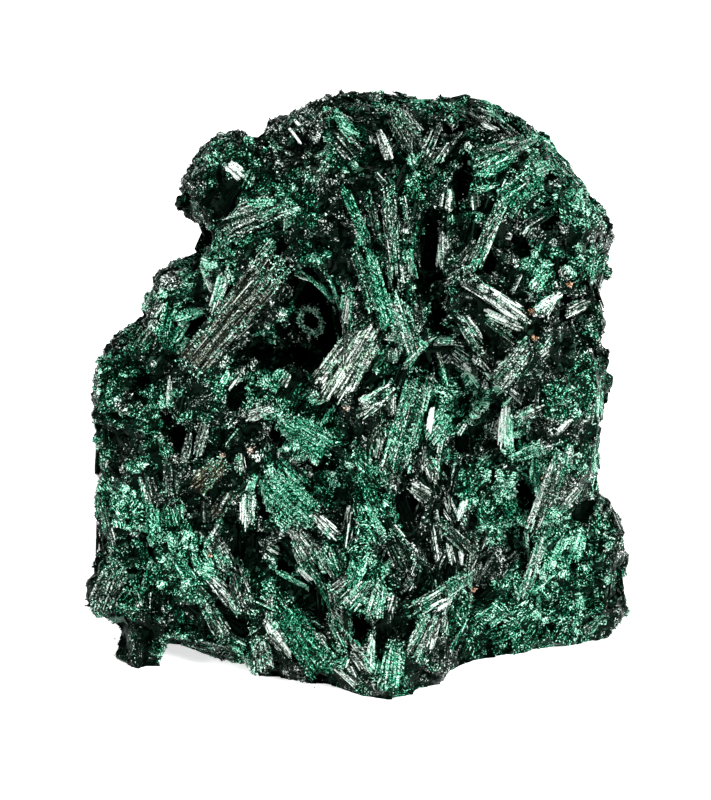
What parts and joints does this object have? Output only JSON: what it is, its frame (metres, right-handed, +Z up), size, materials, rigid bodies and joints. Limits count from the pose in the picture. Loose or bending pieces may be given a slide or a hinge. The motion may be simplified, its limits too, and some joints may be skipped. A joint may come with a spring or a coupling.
{
  "type": "brochantite specimen",
  "caption": "Porous standing mass of intergrown fibrous crystal sheaves with open pits, cut flat underneath so that it rests by itself.",
  "frame": {"origin": "middle of the flat base, on the surface that the specimen rests on", "axes": "+Z up, +X to the right and +Y away as seen from the best face, which looks towards -Y"},
  "size_m": [0.0549, 0.037, 0.0574],
  "materials": {
    "brochantite": "dark green fibrous crystal with silky to glassy breaks and emerald crusts"
  },
  "bodies": {
    "root": {"brochantite_mass": "brochantite"}
  },
  "joints": []
}
